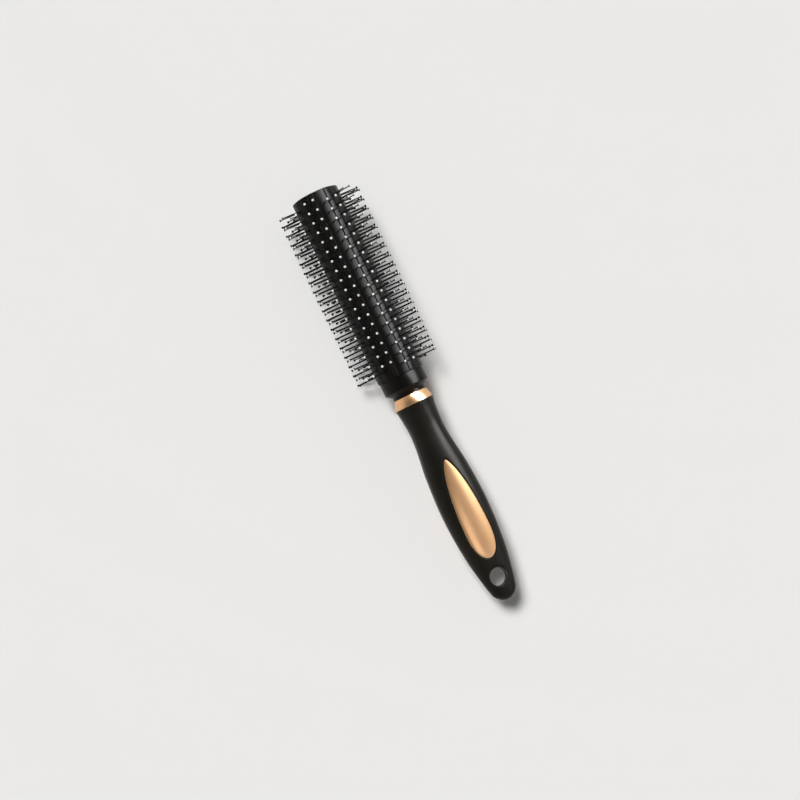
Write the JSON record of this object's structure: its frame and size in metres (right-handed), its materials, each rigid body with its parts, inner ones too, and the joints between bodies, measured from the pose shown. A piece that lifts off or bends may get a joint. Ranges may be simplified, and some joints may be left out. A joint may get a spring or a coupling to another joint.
{
  "type": "round barrel brush",
  "caption": "Round hair-styling brush: gloss black slotted barrel with ball-tipped pin strips, soft-touch black handle with rose-gold collar ring and teardrop inlays, and a hang hole.",
  "frame": {"origin": "under the middle of the brush's box, at the height of the lowest pin tips, on the surface it lies on", "axes": "+X runs along the brush's axis from the tail of the handle to the free end of the barrel, +Z is the face with the front inlay, and +Y follows from the right-hand rule"},
  "size_m": [0.234, 0.0464, 0.0463],
  "materials": {
    "core_plastic": "matte",
    "soft_touch": "matte",
    "rose_gold_satin": "satin",
    "rose_gold_polished": "polished",
    "gloss_black": "gloss",
    "pin_nylon": "satin",
    "steel": "satin"
  },
  "bodies": {
    "root": {"handle_core": "core_plastic", "grip_sleeve": "soft_touch", "inlay_front": "rose_gold_satin", "inlay_back": "rose_gold_satin", "collar_ring": "rose_gold_polished", "base_collar": "gloss_black", "barrel_shell": "gloss_black", "end_plug": "gloss_black", "barrel_screw": "steel", "screw_washer": "steel", "pin_strip_01": "pin_nylon", "pin_strip_02": "pin_nylon", "pin_strip_03": "pin_nylon", "pin_strip_04": "pin_nylon", "pin_strip_05": "pin_nylon", "pin_strip_06": "pin_nylon", "pin_strip_07": "pin_nylon", "pin_strip_08": "pin_nylon", "pin_strip_09": "pin_nylon", "pin_strip_10": "pin_nylon", "pin_strip_11": "pin_nylon", "pin_strip_12": "pin_nylon"}
  },
  "joints": []
}
